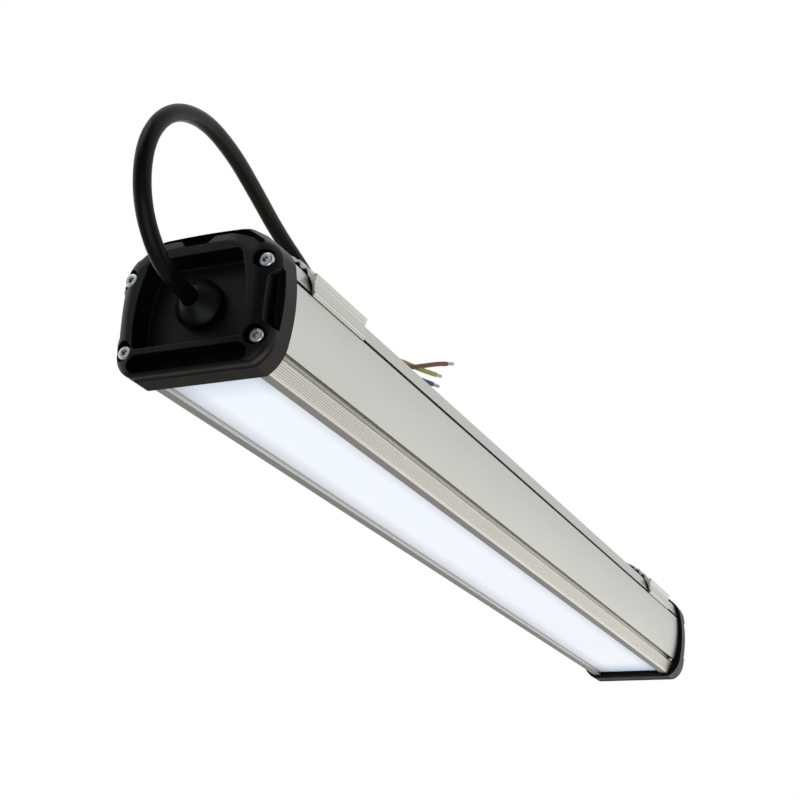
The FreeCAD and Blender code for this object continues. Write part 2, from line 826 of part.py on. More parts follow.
def make_cord(label, points, diameter):
    solid, length, radii = tube(points, diameter)
    solid_piece(label, solid)
    smallest = ", ".join(f"{radius:.0f}" for radius in radii)
    print(f"{label}: length {length:.0f} mm, bend radii {smallest} mm")


def make_tip(label, points):
    """The bare strand in line with the last run of its core."""
    end = Vector(*points[-1])
    direction = (end - Vector(*points[-2])).normalize()
    solid_piece(label, Part.makeCylinder(size("tip_diameter") / 2, size("tip_length"), end, direction))


def core_points(label):
    """A core's whole route: straight out of the jacket's end face, then as it lies."""
    end = Vector(*CABLE_ROUTE[-1])
    ahead = (end - Vector(*CABLE_ROUTE[-2])).normalize()
    up = Vector(0, 0, 1)
    across, rise = CORE_EXITS[label]
    start = end + up.cross(ahead) * across + up * rise
    return [tuple(start), tuple(start + ahead * CORE_LEAD)] + CORE_ROUTES[label]


def make_cables():
    make_cord("mains_cable", CABLE_ROUTE, size("cable_diameter"))
    for label in CORE_ROUTES:
        points = core_points(label)
        make_cord(label, points, size("core_diameter"))
        make_tip(f"{label}_tip", points)


# Clips
WAVE_PITCH = 3.3
WAVE_START = 0.6
WAVE_AXIS = 2.05
WAVE_RISE = 0.7
WAVE_ARCS = 4


def wave_steps():
    """Outer and inner arcs of the wavy flank: crests and troughs of one wall, up the shoulder."""
    run = (SHOULDER_END[0] - SHOULDER_START[0], SHOULDER_END[1] - SHOULDER_START[1])
    length = math.hypot(*run)
    along = (run[0] / length, run[1] / length)
    out = (run[1] / length, -run[0] / length)
    half_angle = 2 * math.atan(WAVE_RISE / (WAVE_PITCH / 2))
    radius = WAVE_PITCH / 2 / math.sin(half_angle)
    wall = size("clip_wall") / 2

    def place(s, n):
        return (
            SHOULDER_START[0] + along[0] * s + out[0] * n,
            SHOULDER_START[1] + along[1] * s + out[1] * n,
        )

    outer, inner = [], []
    for number in range(WAVE_ARCS):
        crest = 1 if number % 2 == 0 else -1
        s = WAVE_START + WAVE_PITCH * (number + 0.5)
        n = WAVE_AXIS + crest * (WAVE_RISE - radius)
        for side, arcs in ((1, outer), (-1, inner)):
            r = radius + crest * side * wall
            reach = r * math.sin(half_angle)
            rise = crest * r * math.cos(half_angle)
            arcs.append((place(s - reach, n + rise), place(s, n + crest * r), place(s + reach, n + rise)))
    return outer, inner


def clip_outline():
    """Hook, leg, ridge, wavy flank and top plate of a clip, as one extruded section."""
    outer, inner = wave_steps()
    top = size("clip_top")
    under = top - size("clip_plate")
    hook_low = size("clip_groove_low") + 0.3
    hook_high = size("clip_groove_high") - 0.3
    outside = [
        (45.4, hook_low),
        ((45.9, hook_low + 0.15), (46.1, hook_low + 0.55)),
        (45.75, 51.6),
        ((46.55, 51.9), (46.85, 52.6)),
        (46.7, 53.3),
        (46.2, 53.8),
        (45.95, 59.6),
        (46.4, 60.2),
        (46.3, 61.2),
        (46.9, 62.2),
        ((47.2, 63.1), (46.5, 63.9)),
        (43.9, 63.5),
        outer[0][0],
    ]
    outside += [(middle, last) for _, middle, last in outer]
    outside += [(28.2, 77.6), (24.8, 79.4), (20.5, top)]
    inside = [(20.0, under), (24.2, 78.1), (27.6, 77.0), inner[-1][2]]
    inside += [(middle, first) for first, middle, _ in reversed(inner)]
    inside += [(41.8, 62.9), ((43.9, 58.9), (45.0, 53.8)), (45.0, hook_high), (42.9, hook_high)]
    start = (42.9, hook_low)
    right = path(start, outside)
    left = mirror_path(right)
    right_inside = path(inside[0], inside[1:] + [start])
    left_inside = mirror_path(right_inside)
    top_line = line((20.5, top), (-20.5, top))
    under_line = line(inside[0], (-inside[0][0], under))
    return right + left + right_inside + left_inside + [top_line, under_line]


def mirror_path(pieces):
    """The same lines and arcs on the left of the centre plane."""
    flipped = []
    for piece in pieces:
        ends = [(-point.x, point.y) for point in (piece.value(t) for t in span(piece))]
        if isinstance(piece, Part.LineSegment):
            flipped.append(line(ends[0], ends[2]))
        else:
            flipped.append(arc(*ends))
    return flipped


def span(piece):
    first, last = piece.FirstParameter, piece.LastParameter
    return (first, (first + last) / 2, last)


def make_clip(name, label, number):
    """One clip; the ceiling hole is countersunk from the housing's side."""
    body = new_body(name)
    middle = f"Sizes.clip_first + {number} * Sizes.clip_spacing"
    section = cross_sketch(body, f"{name}_section", f"{middle} - Sizes.clip_length / 2")
    draw(section, clip_outline())
    pad(body, section, f"{name}_bar", "Sizes.clip_length")
    before = volume(body)
    sink = body.newObject("Sketcher::SketchObject", f"{name}_sink")
    plane = [feature for feature in body.Origin.OriginFeatures if feature.Role == "XZ_Plane"][0]
    sink.AttachmentSupport = [(plane, "")]
    sink.MapMode = "FlatFace"
    sink.setExpression("AttachmentOffset.Base.x", middle)
    top = size("clip_top")
    under = top - size("clip_plate")
    hole, wide = size("clip_hole"), size("clip_sink")
    draw(sink, polygon([(0, under), (wide, under), (hole, under + wide - hole), (hole, top), (0, top)]))
    groove = body.newObject("PartDesign::Groove", f"{name}_hole")
    groove.Profile = sink
    groove.ReferenceAxis = (sink, ["V_Axis"])
    groove.Angle = 360
    if volume(body) >= before:
        raise RuntimeError(f"{name}: the ceiling hole cuts nothing")
    keep(body, label)


# Light source and power supply
def make_board():
    """The board under the shelf, with its screw holes and the hole for its leads."""
    body = new_body("BoardBody")
    start = size("board_inset")
    end = size("housing_length") - start
    half = size("board_width") / 2
    under = "Sizes.shelf_bottom - Sizes.board_thick"
    section = flat_sketch(body, "board_outline", under)
    draw(section, polygon([(start, -half), (end, -half), (end, half), (start, half)]))
    pad(body, section, "board_pad", "Sizes.board_thick")
    holes = flat_sketch(body, "board_holes", under)
    draw_circles(holes, [(x, 0.0) for x in BOARD_SCREWS], "small_hole")
    draw_circles(holes, [LEAD_HOLE], "lead_hole")
    pocket(body, holes, "board_hole_cut", "Sizes.board_thick")
    keep(body, "led_board")


def make_chips():
    """Two rows of chips on the board's face, and the screws that hold the board."""
    face = size("shelf_bottom") - size("board_thick")
    count = int(size("chip_count"))
    pitch = (size("housing_length") - 2 * size("board_inset")) / count
    side = size("chip_size")
    chips = []
    for row in (1, -1):
        for number in range(count):
            x = size("board_inset") + pitch * (number + 0.5) - side / 2
            corner = Vector(x, row * size("chip_row") - side / 2, face - size("chip_rise"))
            chips.append(Part.makeBox(side, side, size("chip_rise"), corner))
    solid_piece("led_chips", Part.makeCompound(chips))
    screws = [small_screw(True, face, x, 0.0, LONG_SHANK) for x in BOARD_SCREWS]
    solid_piece("led_board_screws", Part.makeCompound(screws))


def make_driver():
    """A potted driver case with a fixing tab at each end."""
    floor = size("shelf_bottom") + size("shelf_thick")
    start, length = size("driver_start"), size("driver_length")
    width, height = size("driver_width"), size("driver_height")
    tab, thick = size("driver_tab"), size("tab_thick")
    case = Part.makeBox(length, width, height, Vector(start, -width / 2, floor))
    case = case.makeFillet(2.5, [edge for edge in case.Edges if edge.BoundBox.ZMin > floor + height / 4])
    plate = Part.makeBox(length + 2 * tab, width, thick, Vector(start - tab, -width / 2, floor))
    holes = [Part.makeCylinder(size("small_hole"), thick, Vector(x, 0, floor)) for x in DRIVER_SCREWS]
    solid_piece("led_driver", case.fuse(plate).removeSplitter().cut(holes))
    screws = [small_screw(False, floor + thick, x, 0.0, LONG_SHANK) for x in DRIVER_SCREWS]
    solid_piece("driver_screws", Part.makeCompound(screws))


CLAMP_SHAFT = 2.2
POLE_GAP = 1.2


def make_terminal():
    """A three pole terminal block: round screw shafts down from the top and a slit between the poles."""
    floor = size("shelf_bottom") + size("shelf_thick")
    start, length = size("terminal_start"), size("terminal_length")
    width, height = size("terminal_width"), size("terminal_height")
    block = Part.makeBox(length, width, height, Vector(start, -width / 2, floor))
    pole = width / 3
    middle = floor + height / 2
    cuts = []
    for number in (-1, 0, 1):
        for share in (0.25, 0.75):
            spot = Vector(start + length * share, number * pole, middle)
            cuts.append(Part.makeCylinder(CLAMP_SHAFT, height, spot))
    for side in (-1, 1):
        corner = Vector(start, side * pole / 2 - POLE_GAP / 2, middle)
        cuts.append(Part.makeBox(length, POLE_GAP, height, corner))
    solid_piece("terminal_block", block.cut(cuts))


# Levels above the shelf, and how far a lead runs straight out of what it enters
CLAMP_LEVEL = 5.0
DRIVER_EXIT_LEVEL = 9.0
LEAD_STRAIGHT = 14.0
LEAD_GAP = 4.0
CORE_SPREAD = 1.9


def cable_to_terminal(side, rise):
    """One core inside the housing: out of the cable, then down to its own pole."""
    clamp = size("shelf_bottom") + size("shelf_thick") + CLAMP_LEVEL
    start = size("terminal_start")
    pole = side * size("terminal_width") / 3
    exit_y = side * CORE_SPREAD
    exit_z = size("gland_height") + rise
    bend = (start / 2, (exit_y + pole) / 2, (exit_z + clamp) / 2 - 0.5)
    clamped = [(start - LEAD_STRAIGHT, pole, clamp), (start, pole, clamp)]
    return [(0.0, exit_y, exit_z), (LEAD_STRAIGHT, exit_y, exit_z), bend] + clamped


def terminal_to_driver(side):
    """One mains lead along the upper chamber."""
    floor = size("shelf_bottom") + size("shelf_thick")
    start = size("terminal_start") + size("terminal_length")
    end = size("driver_start")
    pole = side * size("terminal_width") / 3
    clamp = floor + CLAMP_LEVEL
    level = floor + DRIVER_EXIT_LEVEL
    entry = side * LEAD_GAP
    third = (end - start) / 3
    return [
        (start, pole, clamp),
        (start + 2 * LEAD_STRAIGHT, pole, clamp),
        (start + third, pole + 1.0, clamp + 1.5),
        (end - third, entry, level - 0.5),
        (end - 2 * LEAD_STRAIGHT, entry, level),
        (end, entry, level),
    ]


def driver_to_board(shift):
    """One lead from the driver's end down through the shelf to the board."""
    level = size("shelf_bottom") + size("shelf_thick") + DRIVER_EXIT_LEVEL
    start = size("driver_start") + size("driver_length")
    face = size("shelf_bottom") - size("board_thick")
    x, y = LEAD_HOLE
    exit_y = y / 2 + shift
    hole_y = y + shift
    return [
        (start, exit_y, level),
        (start + LEAD_STRAIGHT, exit_y, level),
        (x - LEAD_STRAIGHT, (exit_y + hole_y) / 2, level + 1.5),
        (x, hole_y, level - 4.0),
        (x, hole_y, face),
    ]


def make_inner_leads():
    """Leads from the cable to the terminal block, on to the driver, and down to the board."""
    wires = {
        "inner_brown": cable_to_terminal(-1, 1.1),
        "inner_blue": cable_to_terminal(0, -2.2),
        "inner_earth": cable_to_terminal(1, 1.1),
        "driver_lead_brown": terminal_to_driver(-1),
        "driver_lead_blue": terminal_to_driver(0),
        "led_lead_red": driver_to_board(-LEAD_GAP / 2),
        "led_lead_black": driver_to_board(LEAD_GAP / 2),
    }
    for label, points in wires.items():
        solid_piece(label, tube(points, size("lead_diameter"))[0])
    floor = size("shelf_bottom") + size("shelf_thick")
    solid_piece("earth_screw", small_screw(False, floor, *EARTH_SCREW, SHORT_SHANK))


def make_ends():
    """Both caps with their seals and screws; the far set is the near one turned round."""
    make_cap("NearCap", "end_cap_gland", gland=True)
    make_seal("NearSeal", "gasket_near")
    solid_piece("cap_screws_near", cap_screws())
    far = [
        make_cap("FarCap", "end_cap_blank", gland=False),
        make_seal("FarSeal", "gasket_far"),
        solid_piece("cap_screws_far", cap_screws()),
    ]
    for piece in far:
        piece.Placement = far_placement()


make_housing()
make_diffuser()
make_ends()
gland_pieces()
make_cables()
make_clip("NearClip", "clip_near", 0)
make_clip("FarClip", "clip_far", 1)
make_board()
make_chips()
make_driver()
make_terminal()
make_inner_leads()

doc.recompute()
for item in doc.Objects:
    if "Invalid" in item.State or "Error" in item.State:
        raise RuntimeError(f"{item.Name} failed: {item.State}")
for piece in sub_parts:
    if piece.Shape.isNull() or not piece.Shape.isValid():
        raise RuntimeError(f"{piece.Label} has no valid shape")

os.makedirs("parts", exist_ok=True)
for piece in sub_parts:
    piece.Shape.exportStep(f"parts/{piece.Label}.step")
print(f"{len(sub_parts)} sub-parts written")
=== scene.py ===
import json
import math

import bmesh
import bpy
from mathutils import Matrix, Vector


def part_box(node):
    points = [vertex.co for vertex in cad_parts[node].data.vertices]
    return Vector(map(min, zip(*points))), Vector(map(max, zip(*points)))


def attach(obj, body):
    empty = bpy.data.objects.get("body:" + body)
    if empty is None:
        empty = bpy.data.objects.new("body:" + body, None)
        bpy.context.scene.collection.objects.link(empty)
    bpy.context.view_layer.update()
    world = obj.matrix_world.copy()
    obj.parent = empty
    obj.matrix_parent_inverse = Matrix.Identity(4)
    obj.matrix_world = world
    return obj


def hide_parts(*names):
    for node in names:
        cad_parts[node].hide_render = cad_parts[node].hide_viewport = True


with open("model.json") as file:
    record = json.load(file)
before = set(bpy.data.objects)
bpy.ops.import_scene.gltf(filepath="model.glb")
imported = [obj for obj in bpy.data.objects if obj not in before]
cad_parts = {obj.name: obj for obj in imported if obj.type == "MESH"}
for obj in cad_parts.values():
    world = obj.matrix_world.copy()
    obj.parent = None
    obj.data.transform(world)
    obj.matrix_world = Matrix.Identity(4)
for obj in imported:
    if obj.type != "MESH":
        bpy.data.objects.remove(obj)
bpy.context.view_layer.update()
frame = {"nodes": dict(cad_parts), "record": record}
nodes = frame["nodes"]
scene = bpy.context.scene
scene.view_settings.view_transform = "Standard"

# The lamp's drawing frame, in millimetres: x from the housing's gland end, y across, z up from the lips
HOME = Vector((-372.5, 0.0, -82.0))
MM = 0.001


def at(x, y, z):
    """A point of the drawing frame, in the part's frame and in metres."""
    return (Vector((x, y, z)) + HOME) * MM


def link(piece):
    scene.collection.objects.link(piece)
    return piece


# Camera at the photograph's viewing angle
SENSOR_WIDTH = 36.0
FOCAL_LENGTH = 69.03
CAMERA_PLACE = (-616.5, -405.7, -286.5)
CAMERA_AHEAD = Vector((0.8415, 0.4034, 0.3594))
CAMERA_UP = Vector((-0.3491, -0.1017, 0.9315))
camera_data = bpy.data.cameras.new("camera")
camera_data.sensor_width = SENSOR_WIDTH
camera_data.lens = FOCAL_LENGTH
camera_data.clip_start = 0.01
camera_data.clip_end = 200.0
camera = link(bpy.data.objects.new("camera", camera_data))
forward = CAMERA_AHEAD.normalized()
right = forward.cross(CAMERA_UP).normalized()
turn = Matrix((right, right.cross(forward), -forward)).transposed()
camera.matrix_world = Matrix.Translation(at(*CAMERA_PLACE)) @ turn.to_4x4()
scene.camera = camera


# Material helpers
def add(tree, kind, **settings):
    node = tree.nodes.new(kind)
    for key, setting in settings.items():
        setattr(node, key, setting)
    return node


def new_material(name, colour, roughness, metallic=0.0, specular=0.5):
    material = bpy.data.materials.new(name)
    material.use_nodes = True
    tree = material.node_tree
    shader = tree.nodes["Principled BSDF"]
    shader.inputs["Base Color"].default_value = (*colour, 1.0)
    shader.inputs["Roughness"].default_value = roughness
    shader.inputs["Metallic"].default_value = metallic
    shader.inputs["Specular IOR Level"].default_value = specular
    return material, tree, shader


def noise(tree, scale, stretch=(1.0, 1.0, 1.0), detail=3.0):
    """Noise over the part's own coordinates, drawn out along some axes."""
    place = add(tree, "ShaderNodeTexCoord")
    mapping = add(tree, "ShaderNodeMapping")
    mapping.inputs["Scale"].default_value = stretch
    texture = add(tree, "ShaderNodeTexNoise")
    texture.inputs["Scale"].default_value = scale
    texture.inputs["Detail"].default_value = detail
    tree.links.new(place.outputs["Object"], mapping.inputs["Vector"])
    tree.links.new(mapping.outputs["Vector"], texture.inputs["Vector"])
    return texture.outputs["Fac"]


def spread(tree, source, low, high, start=0.3, end=0.7):
    """A number between low and high, as the source goes from start to end."""
    remap = add(tree, "ShaderNodeMapRange")
    remap.inputs["From Min"].default_value = start
    remap.inputs["From Max"].default_value = end
    remap.inputs["To Min"].default_value = low
    remap.inputs["To Max"].default_value = high
    tree.links.new(source, remap.inputs["Value"])
    return remap.outputs["Result"]


def tint(tree, source, dark, light, start=0.3, end=0.7):
    """A colour between dark and light, as the source goes from start to end."""
    ramp = add(tree, "ShaderNodeValToRGB")
    ramp.color_ramp.elements[0].position = start
    ramp.color_ramp.elements[0].color = (*dark, 1.0)
    ramp.color_ramp.elements[1].position = end
    ramp.color_ramp.elements[1].color = (*light, 1.0)
    tree.links.new(source, ramp.inputs["Fac"])
    return ramp.outputs["Color"]


def relief(tree, shader, source, depth, edge=0.0):
    """Bump from the source, over edges softened by a small radius."""
    bump = add(tree, "ShaderNodeBump")
    bump.inputs["Distance"].default_value = depth
    bump.inputs["Strength"].default_value = 1.0
    tree.links.new(source, bump.inputs["Height"])
    if edge:
        soft = add(tree, "ShaderNodeBevel", samples=6)
        soft.inputs["Radius"].default_value = edge
        tree.links.new(soft.outputs["Normal"], bump.inputs["Normal"])
    tree.links.new(bump.outputs["Normal"], shader.inputs["Normal"])


def shade(tree, shader, socket, source):
    tree.links.new(source, shader.inputs[socket])


def hollows(tree, depth):
    """How open the surface lies: one on plain faces, less down in recesses of about this depth."""
    openness = add(tree, "ShaderNodeAmbientOcclusion", samples=8)
    openness.inputs["Distance"].default_value = depth
    return openness.outputs["AO"]


def veiled(tree, colour, veil, share=None):
    """A colour seen through another one, all over or where the share says so."""
    dim = add(tree, "ShaderNodeMix", data_type="RGBA", blend_type="MULTIPLY")
    dim.inputs["Factor"].default_value = 1.0
    if share:
        tree.links.new(share, dim.inputs["Factor"])
    tree.links.new(colour, dim.inputs["A"])
    tree.links.new(veil, dim.inputs["B"])
    return dim.outputs["Result"]


def from_middle(tree, split, axis, middle):
    """How far a point is from the middle along one axis."""
    shift = add(tree, "ShaderNodeMath", operation="SUBTRACT")
    shift.inputs[1].default_value = middle
    away = add(tree, "ShaderNodeMath", operation="ABSOLUTE")
    tree.links.new(split.outputs[axis], shift.inputs[0])
    tree.links.new(shift.outputs["Value"], away.inputs[0])
    return away.outputs["Value"]


# Materials, with lengths in metres
WHITE = (1.0, 1.0, 1.0)
RIB_PITCH = 0.00115
RIB_HEIGHT = 0.00003
RIB_CONTRAST = 0.14
# Painted shade down in grooves and drive recesses: how far it reaches, how dark it paints the housing, and
# none on the clips
GROOVE_DEPTH = 0.004
GROOVE_SHADE = 0.55
NO_PAINTED_SHADE = 1.0
DRIVE_DEPTH = 0.0015
WAVE_RATE = 20.0


def fine_ribs(tree, pitch):
    """Regular fine ribs, level all along the extrusion."""
    place = add(tree, "ShaderNodeTexCoord")
    bands = add(tree, "ShaderNodeTexWave", wave_type="BANDS", bands_direction="Z", wave_profile="SIN")
    bands.inputs["Scale"].default_value = math.tau / (WAVE_RATE * pitch)
    tree.links.new(place.outputs["Object"], bands.inputs["Vector"])
    return bands.outputs["Fac"]


def flanks(tree):
    """One on faces that look sideways, none on slanted, level and cut ones."""
    place = add(tree, "ShaderNodeTexCoord")
    split = add(tree, "ShaderNodeSeparateXYZ")
    tree.links.new(place.outputs["Normal"], split.inputs["Vector"])
    return spread(tree, from_middle(tree, split, "Y", 0.0), 0.0, 1.0, start=0.92, end=0.98)


def aluminium(name, painted_shade_tone):
    """Satin anodised extrusion with fine ribs on its flanks, a sparkling grain, painted shade and highlight
    along the ribs, and painted shade down in its grooves.
    """
    material, tree, shader = new_material(name, (0.66, 0.66, 0.63), 0.33, metallic=1.0)
    grain = noise(tree, 1600.0)
    clouds = noise(tree, 14.0, stretch=(0.5, 1.0, 1.0))
    ribs = fine_ribs(tree, RIB_PITCH)
    sides = flanks(tree)
    satin = tint(tree, grain, (0.63, 0.635, 0.605), (0.69, 0.695, 0.655))
    # Painted shade and highlight: the base colour darker in the rib valleys and lighter on the crests, on top
    # of the bump
    painted_rib_shading = spread(tree, ribs, 1.0 - RIB_CONTRAST, 1.0 + RIB_CONTRAST, start=0.0, end=1.0)
    ribbed = veiled(tree, satin, painted_rib_shading, share=sides)
    # Painted shade: the base colour darkened down in the grooves, where the surface is less open
    painted_groove_shade = tint(tree, hollows(tree, GROOVE_DEPTH), (painted_shade_tone,) * 3, WHITE, start=0.5, end=0.9)
    shade(tree, shader, "Base Color", veiled(tree, ribbed, painted_groove_shade))
    shade(tree, shader, "Roughness", spread(tree, clouds, 0.30, 0.37))
    height = add(tree, "ShaderNodeMath", operation="MULTIPLY")
    tree.links.new(ribs, height.inputs[0])
    tree.links.new(sides, height.inputs[1])
    relief(tree, shader, height.outputs["Value"], RIB_HEIGHT, edge=0.0003)
    return material


def black_plastic():
    """Moulded black plastic with a fine spark-eroded grain."""
    material, tree, shader = new_material("black_plastic", (0.0018, 0.0018, 0.0019), 0.36, specular=0.2)
    grain = noise(tree, 2600.0, detail=2.0)
    patches = noise(tree, 60.0)
    shade(tree, shader, "Base Color", tint(tree, patches, (0.0014, 0.0014, 0.0015), (0.0022, 0.0022, 0.0023)))
    shade(tree, shader, "Roughness", spread(tree, patches, 0.32, 0.4))
    relief(tree, shader, grain, 0.00003, edge=0.0006)
    return material


LIT_HALF = 0.016
DIM_HALF = 0.031
END_FADE = 0.036
END_RIM = 0.004


def opal_sheet():
    """Opal sheet lit from behind, dimmer towards its edges and bluish past the last lights at its ends."""
    material, tree, shader = new_material("opal_sheet", (0.5, 0.51, 0.53), 0.45)
    place = add(tree, "ShaderNodeTexCoord")
    split = add(tree, "ShaderNodeSeparateXYZ")
    tree.links.new(place.outputs["Object"], split.inputs["Vector"])
    low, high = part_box("diffuser")
    half = (high[0] - low[0]) / 2
    across = from_middle(tree, split, "Y", 0.0)
    along = from_middle(tree, split, "X", (high[0] + low[0]) / 2)
    glow = tint(tree, across, (0.63, 0.66, 0.71), (0.3, 0.32, 0.35), start=LIT_HALF, end=DIM_HALF)
    ends = tint(tree, along, WHITE, (0.5, 0.58, 0.66), start=half - END_FADE, end=half - END_RIM)
    clouds = tint(tree, noise(tree, 22.0, stretch=(0.5, 1.0, 1.0)), (0.96, 0.965, 0.97), WHITE)
    shade(tree, shader, "Emission Color", veiled(tree, veiled(tree, glow, ends), clouds))
    shader.inputs["Emission Strength"].default_value = 1.0
    relief(tree, shader, noise(tree, 900.0), 0.00001)
    return material


def zinc():
    """Bright zinc plating with a faint turned grain, with painted shade darkening it down in the drive
    recesses.
    """
    material, tree, shader = new_material("zinc_steel", (0.76, 0.8, 0.84), 0.3, metallic=1.0)
    grain = noise(tree, 1800.0)
    recesses = hollows(tree, DRIVE_DEPTH)
    # Painted shade: the plating darkened down in the drive recesses
    plating_and_painted_shade = tint(tree, recesses, (0.14, 0.15, 0.16), (0.66, 0.71, 0.74), start=0.42, end=0.74)
    shade(tree, shader, "Base Color", plating_and_painted_shade)
    shade(tree, shader, "Roughness", spread(tree, grain, 0.27, 0.34))
    relief(tree, shader, grain, 0.00002, edge=0.0002)
    return material


def tinned():
    """Tinned copper strand, dull between the wires."""
    material, tree, shader = new_material("tinned_copper", (0.6, 0.6, 0.59), 0.32, metallic=1.0)
    grain = noise(tree, 2500.0)
    shade(tree, shader, "Roughness", spread(tree, grain, 0.26, 0.45))
    relief(tree, shader, grain, 0.00001)
    return material


def soft_plastic(name, colour, roughness=0.4, specular=0.4):
    """A plain moulded or drawn plastic with slight mottling and a fine grain."""
    material, tree, shader = new_material(name, colour, roughness, specular=specular)
    grain = noise(tree, 1500.0)
    patches = noise(tree, 180.0)
    darker = tuple(channel * 0.86 for channel in colour)
    lighter = tuple(min(1.0, channel * 1.1) for channel in colour)
    shade(tree, shader, "Base Color", tint(tree, patches, darker, lighter))
    shade(tree, shader, "Roughness", spread(tree, patches, roughness - 0.06, roughness + 0.06))
    relief(tree, shader, grain, 0.00002)
    return material


YELLOW_SIDE = (0.1, -0.8, -0.55)


def earth_insulation():
    """Yellow and green insulation: two colours, each over half of the way round."""
    material, tree, shader = new_material("earth_insulation", (0.3, 0.34, 0.05), 0.38)
    place = add(tree, "ShaderNodeTexCoord")
    aim = add(tree, "ShaderNodeVectorMath", operation="DOT_PRODUCT")
    aim.inputs[1].default_value = YELLOW_SIDE
    tree.links.new(place.outputs["Normal"], aim.inputs[0])
    halves = tint(tree, aim.outputs["Value"], (0.1, 0.26, 0.05), (0.55, 0.53, 0.07), start=0.35, end=0.45)
    shade(tree, shader, "Base Color", halves)
    grain = noise(tree, 1500.0)
    shade(tree, shader, "Roughness", spread(tree, grain, 0.32, 0.44))
    relief(tree, shader, grain, 0.00002)
    return material


finishes = {
    "anodised_aluminium": aluminium("anodised_aluminium", GROOVE_SHADE),
    "clip_aluminium": aluminium("clip_aluminium", NO_PAINTED_SHADE),
    "black_plastic": black_plastic(),
    "opal_sheet": opal_sheet(),
    "zinc_steel": zinc(),
    "tinned_copper": tinned(),
    "earth_insulation": earth_insulation(),
    "black_rubber": soft_plastic("black_rubber", (0.004, 0.004, 0.0042), 0.6, 0.1),
    "cable_jacket": soft_plastic("cable_jacket", (0.0025, 0.0026, 0.0028), 0.32, 0.15),
    "brown_insulation": soft_plastic("brown_insulation", (0.24, 0.135, 0.08), specular=0.15),
    "blue_insulation": soft_plastic("blue_insulation", (0.09, 0.17, 0.36), specular=0.15),
    "red_insulation": soft_plastic("red_insulation", (0.5, 0.03, 0.02)),
    "black_insulation": soft_plastic("black_insulation", (0.02, 0.02, 0.02)),
    "board_white": soft_plastic("board_white", (0.82, 0.82, 0.8), 0.3),
    "chip_phosphor": soft_plastic("chip_phosphor", (0.85, 0.68, 0.2), 0.6),
    "driver_case": soft_plastic("driver_case", (0.8, 0.8, 0.79), 0.5),
    "terminal_plastic": soft_plastic("terminal_plastic", (0.74, 0.74, 0.72), 0.42),
}
CLIPS = ("clip_near", "clip_far")
for sub_part in frame["record"]["subparts"]:
    mesh = nodes[sub_part["node"]].data
    mesh.materials.clear()
    finish = "clip_aluminium" if sub_part["node"] in CLIPS else sub_part["material_slot"]
    mesh.materials.append(finishes[finish])


# Pieces in place of solids
def ride(piece, node, slot):
    """Put a piece in place of a solid, with the finish of its slot."""
    piece.data.materials.clear()
    piece.data.materials.append(finishes[slot])
    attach(piece, "root")
    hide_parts(node)
    return piece


# Housing, its lower screw ports open nearly over their full width; y and z in millimetres
PORT_CENTRE = Vector((38.6, 11.6))
PORT_RADIUS = 2.1
GROOVE_FOOT = Vector((39.3, 8.5))
GROOVE_TOP = Vector((41.7, 12.5))
MOUTH_LOW = -1.75
MOUTH_HIGH = 2.1
SLACK = 0.05


def open_ports(name, node, slot):
    """A copy of the housing whose thin lips over the lower ports stand back from the ports' middle."""
    mesh = nodes[node].data.copy()
    along = (GROOVE_TOP - GROOVE_FOOT).normalized()
    outward = Vector((along.y, -along.x))
    face = (GROOVE_FOOT - PORT_CENTRE).dot(outward)
    for vertex in mesh.vertices:
        place = vertex.co / MM - HOME
        offset = Vector((abs(place.y), place.z)) - PORT_CENTRE
        rise = offset.dot(outward)
        shift = offset.dot(along)
        if 0.0 < rise < face + SLACK and abs(shift) < PORT_RADIUS:
            edge = MOUTH_HIGH if shift > 0.0 else MOUTH_LOW
            wall = PORT_CENTRE + outward * rise + along * edge
            vertex.co = at(place.x, math.copysign(wall.x, place.y), wall.y)
    return ride(link(bpy.data.objects.new(name, mesh)), node, slot)


open_ports("housing", "housing_profile", "anodised_aluminium")

# Cable and cores, on the routes of the solids
CABLE_DIAMETER = 9.2
CORE_DIAMETER = 3.1
CABLE_ROUTE = [
    (0.0, 0.0, 36.0),
    (-30.0, 0.0, 36.0),
    (-59.0, -3.0, 40.0),
    (-83.0, -6.0, 60.0),
    (-88.5, -8.0, 90.0),
    (-71.5, -8.0, 116.5),
    (-38.0, -5.0, 132.0),
    (-1.0, -1.0, 133.0),
    (35.0, 4.0, 127.5),
    (69.0, 8.0, 120.0),
    (99.0, 7.0, 110.5),
    (123.0, 2.5, 96.0),
    (146.0, -4.0, 82.3),
    (171.0, -8.0, 82.3),
]
CORE_ROUTES = {
    "brown": [
        (170.7, -9.9, 83.4),
        (182.5, -11.8, 83.4),
        (196.5, -20.5, 82.2),
        (211.8, -25.0, 89.2),
        (225.0, -28.6, 95.3),
        (232.6, -30.8, 98.0),
    ],
    "blue": [
        (171.0, -8.0, 80.1),
        (182.8, -9.9, 80.1),
        (199.0, -14.5, 80.7),
        (214.5, -19.2, 81.9),
        (230.2, -22.4, 83.8),
    ],
    "earth": [
        (171.3, -6.1, 83.4),
        (183.1, -8.0, 83.4),
        (193.0, -14.6, 87.0),
        (208.5, -18.4, 88.0),
        (222.0, -20.6, 89.8),
        (235.6, -22.0, 92.6),
    ],
}


def cord_piece(name, route, diameter, node, slot):
    """A round cord on one smooth line through its route."""
    curve = bpy.data.curves.new(name, "CURVE")
    curve.dimensions = "3D"
    curve.bevel_depth = diameter * MM / 2
    curve.bevel_resolution = 8
    curve.resolution_u = 16
    curve.use_fill_caps = True
    spline = curve.splines.new("NURBS")
    spline.points.add(len(route) - 1)
    for point, place in zip(spline.points, route):
        point.co = (*at(*place), 1.0)
    spline.order_u = 3
    spline.use_endpoint_u = True
    return ride(link(bpy.data.objects.new(name, curve)), node, slot)


TIP_LENGTH = 7.0
TIP_RADIUS = 1.2
OUTER_STRANDS = 6
STRAND_RADIUS = 0.4
STRAND_TURNS = 0.8
STRAND_POINTS = 9


